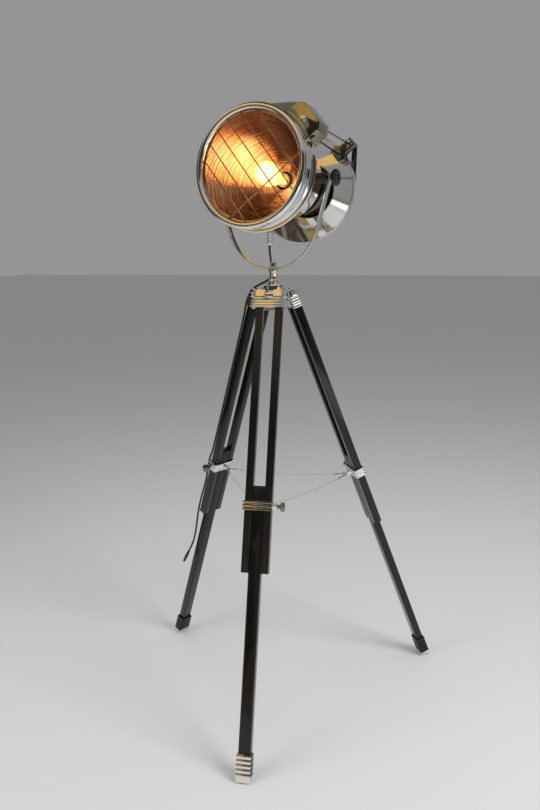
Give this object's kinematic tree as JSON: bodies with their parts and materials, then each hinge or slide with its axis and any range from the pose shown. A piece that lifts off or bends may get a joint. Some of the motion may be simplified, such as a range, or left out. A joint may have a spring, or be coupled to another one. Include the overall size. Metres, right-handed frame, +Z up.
{
  "type": "tripod spotlight floor lamp",
  "caption": "Floor lamp: a polished searchlight head tilts and swivels in a U-shaped yoke on a black wooden tripod with telescoping folding legs, clamps and spreader chains.",
  "frame": {"origin": "on the floor, at the middle of the box round the lamp without its cord", "axes": "+Z up, -Y the way the head faces, X along the tilt axis"},
  "size_m": [0.8304, 0.8226, 1.651],
  "materials": {
    "polished_chrome": "mirror polished",
    "smoked_chrome": "dark polished",
    "chain_wire": "bright wire",
    "black_lacquered_wood": "black gloss lacquer",
    "black_plastic": "moulded black",
    "reflector_mirror": "warm mirror",
    "bulb_glass": "clear, warm tinted",
    "bulb_brass": "plain",
    "filament": "glowing filament",
    "porcelain": "glazed porcelain",
    "cord_jacket": "black jacket"
  },
  "bodies": {
    "base": {"hub_plate": "polished_chrome", "swivel_post": "polished_chrome", "finial_nut": "polished_chrome", "cord_post": "cord_jacket"},
    "leg_front_upper": {"leg_front_rail_a": "black_lacquered_wood", "leg_front_rail_b": "black_lacquered_wood", "leg_front_bracket": "polished_chrome", "leg_front_hinge_bolt": "polished_chrome", "leg_front_clamp": "polished_chrome", "chain_front_to_right": "chain_wire", "chain_front_to_left": "chain_wire"},
    "leg_front_lower": {"leg_front_lower": "black_lacquered_wood", "leg_front_shoe": "polished_chrome"},
    "leg_front_knob": {"leg_front_clamp_knob": "smoked_chrome"},
    "leg_right_upper": {"leg_right_rail_a": "black_lacquered_wood", "leg_right_rail_b": "black_lacquered_wood", "leg_right_bracket": "polished_chrome", "leg_right_hinge_bolt": "polished_chrome", "leg_right_clamp": "polished_chrome", "chain_right_to_front": "chain_wire", "chain_right_to_left": "chain_wire"},
    "leg_right_lower": {"leg_right_lower": "black_lacquered_wood", "leg_right_shoe": "polished_chrome"},
    "leg_right_knob": {"leg_right_clamp_knob": "smoked_chrome"},
    "leg_left_upper": {"leg_left_rail_a": "black_lacquered_wood", "leg_left_rail_b": "black_lacquered_wood", "leg_left_bracket": "polished_chrome", "leg_left_hinge_bolt": "polished_chrome", "leg_left_clamp": "polished_chrome", "chain_left_to_right": "chain_wire", "chain_left_to_front": "chain_wire", "cord_leg": "cord_jacket", "cord_plug": "cord_jacket"},
    "leg_left_lower": {"leg_left_lower": "black_lacquered_wood", "leg_left_shoe": "polished_chrome"},
    "leg_left_knob": {"leg_left_clamp_knob": "smoked_chrome"},
    "yoke": {"yoke": "polished_chrome"},
    "head": {"bezel": "polished_chrome", "housing": "polished_chrome", "rear_neck": "smoked_chrome", "grille": "polished_chrome", "reflector": "reflector_mirror", "lamp_holder": "porcelain", "bulb_cap": "bulb_brass", "bulb_glass": "bulb_glass", "filament": "filament", "cable_gland": "polished_chrome", "tilt_spacer_right": "black_plastic", "tilt_spacer_left": "black_plastic", "condenser_box": "polished_chrome", "guide_rod_upper": "smoked_chrome", "guide_rod_lower": "black_lacquered_wood", "rear_bracket": "smoked_chrome", "rear_disc": "polished_chrome", "hinge_pin": "polished_chrome", "cord_head": "cord_jacket"},
    "tilt_knob_right": {"tilt_knob_right": "black_plastic"},
    "tilt_knob_left": {"tilt_knob_left": "black_plastic"},
    "box_screw": {"box_screw": "polished_chrome"},
    "rear_bar": {"rear_bar": "smoked_chrome"}
  },
  "joints": [
    {"name": "leg_front_fold", "type": "hinge", "parent": "base", "child": "leg_front_upper", "pos_m": [0.06559, 0.01867, 1.161], "axis": [0.9703, 0.2419, 0], "range_deg": [0, 20], "deforming": ["chain_front_to_right", "chain_front_to_left"]},
    {"name": "leg_front_slide", "type": "slide", "parent": "leg_front_upper", "child": "leg_front_lower", "axis": [-0.0834, 0.3346, 0.9387], "range_m": [-0.15, 0.33]},
    {"name": "leg_front_clamp_screw", "type": "hinge", "parent": "leg_front_upper", "child": "leg_front_knob", "pos_m": [0.16574, -0.15502, 0.63629], "axis": [0.9703, 0.2419, 0], "continuous": true},
    {"name": "leg_right_fold", "type": "hinge", "parent": "base", "child": "leg_right_upper", "pos_m": [0.08708, 0.09359, 1.161], "axis": [-0.6947, 0.7193, 0], "range_deg": [0, 20], "deforming": ["chain_right_to_front", "chain_right_to_left"]},
    {"name": "leg_right_slide", "type": "slide", "parent": "leg_right_upper", "child": "leg_right_lower", "axis": [-0.248, -0.2395, 0.9387], "range_m": [-0.15, 0.33]},
    {"name": "leg_right_clamp_screw", "type": "hinge", "parent": "leg_right_upper", "child": "leg_right_knob", "pos_m": [0.18742, 0.26716, 0.63629], "axis": [-0.6947, 0.7193, 0], "continuous": true},
    {"name": "leg_left_fold", "type": "hinge", "parent": "base", "child": "leg_left_upper", "pos_m": [0.01145, 0.07473, 1.161], "axis": [-0.2756, -0.9613, 0], "range_deg": [0, 20], "deforming": ["chain_left_to_right", "chain_left_to_front", "cord_leg"]},
    {"name": "leg_left_slide", "type": "slide", "parent": "leg_left_upper", "child": "leg_left_lower", "axis": [0.3315, -0.095, 0.9387], "range_m": [-0.15, 0.33], "deforming": ["cord_leg"]},
    {"name": "leg_left_clamp_screw", "type": "hinge", "parent": "leg_left_upper", "child": "leg_left_knob", "pos_m": [-0.18904, 0.07485, 0.63629], "axis": [-0.2756, -0.9613, 0], "continuous": true},
    {"name": "head_swivel", "type": "hinge", "parent": "base", "child": "yoke", "pos_m": [0.05471, 0.06233, 1.2283], "axis": [0, 0, 1], "range_deg": [-90, 90], "deforming": ["cord_post"]},
    {"name": "head_tilt", "type": "hinge", "parent": "yoke", "child": "head", "pos_m": [0.05471, 0.06233, 1.458], "axis": [1, 0, 0], "range_deg": [-35, 40], "deforming": ["cord_head"]},
    {"name": "tilt_lock_right", "type": "hinge", "parent": "head", "child": "tilt_knob_right", "pos_m": [0.05471, 0.06233, 1.458], "axis": [1, 0, 0], "continuous": true},
    {"name": "tilt_lock_left", "type": "hinge", "parent": "head", "child": "tilt_knob_left", "pos_m": [0.05471, 0.06233, 1.458], "axis": [-1, 0, 0], "continuous": true},
    {"name": "box_screw_turn", "type": "hinge", "parent": "head", "child": "box_screw", "pos_m": [0.19075, -0.02694, 1.59525], "axis": [0, -0.9903, 0.1392], "continuous": true},
    {"name": "rear_bar_swing", "type": "hinge", "parent": "head", "child": "rear_bar", "pos_m": [0.19607, 0.30165, 1.55852], "axis": [0, 0.9903, -0.1392], "range_deg": [-170, 8]}
  ]
}
